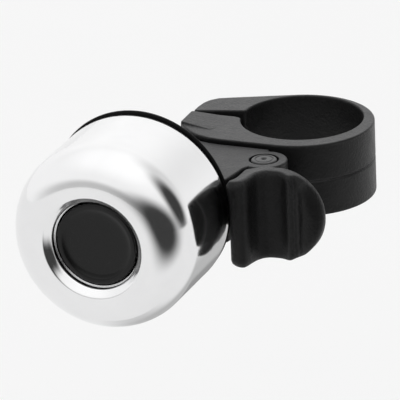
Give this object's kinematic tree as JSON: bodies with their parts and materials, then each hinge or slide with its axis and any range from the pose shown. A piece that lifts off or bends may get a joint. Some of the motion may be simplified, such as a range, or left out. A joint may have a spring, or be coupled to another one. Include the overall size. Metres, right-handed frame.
{
  "type": "bicycle bell",
  "caption": "Handlebar bicycle bell: domed aluminium gong on a black plastic bracket and split clamp, rung by a sprung thumb lever with an inner hammer.",
  "frame": {"origin": "on the lower end face of the clamp band, in the middle of the wall in front of the handlebar bore; the bore's axis is the line x = 0, y = 12.6 mm", "axes": "+Z along the handlebar bore, -Y the way the gong faces, +X towards the thumb pad side"},
  "size_m": [0.0511, 0.0653, 0.035],
  "materials": {
    "gong_aluminium": "polished, fine spun satin",
    "gloss_black": "smooth gloss",
    "black_plastic": "fine moulded grain, satin",
    "nylon": "natural",
    "steel": "zinc plated",
    "pin_black": "black, satin",
    "hammer_brass": "turned"
  },
  "bodies": {
    "bell_body": {"gong": "gong_aluminium", "gong_cap": "gloss_black", "gong_screw": "steel", "gong_washer": "steel", "gong_bush": "nylon", "gong_spacer": "black_plastic", "gong_nut": "steel", "base_plate": "black_plastic", "bracket": "black_plastic", "clamp_band": "black_plastic", "clamp_screw": "steel", "clamp_washer": "steel", "clamp_nut": "steel", "lever_pin": "pin_black", "pin_clip": "steel", "torsion_spring": "steel"},
    "lever": {"thumb_lever": "black_plastic", "arm_rivet": "steel"},
    "striker": {"hammer_arm": "steel", "hammer": "hammer_brass"}
  },
  "joints": [
    {"name": "lever_press", "type": "hinge", "parent": "bell_body", "child": "lever", "pos_m": [0.0002, -0.007, 0.00677], "axis": [0, 0, 1], "range_deg": [0, 11.5], "stiffness_Nm_per_rad": 0.05, "deforming": ["torsion_spring"]},
    {"name": "hammer_flex", "type": "hinge", "parent": "lever", "child": "striker", "pos_m": [-0.00343, -0.01113, 0.00677], "axis": [0, 0, 1], "range_deg": [-3, 3], "stiffness_Nm_per_rad": 0.3}
  ]
}
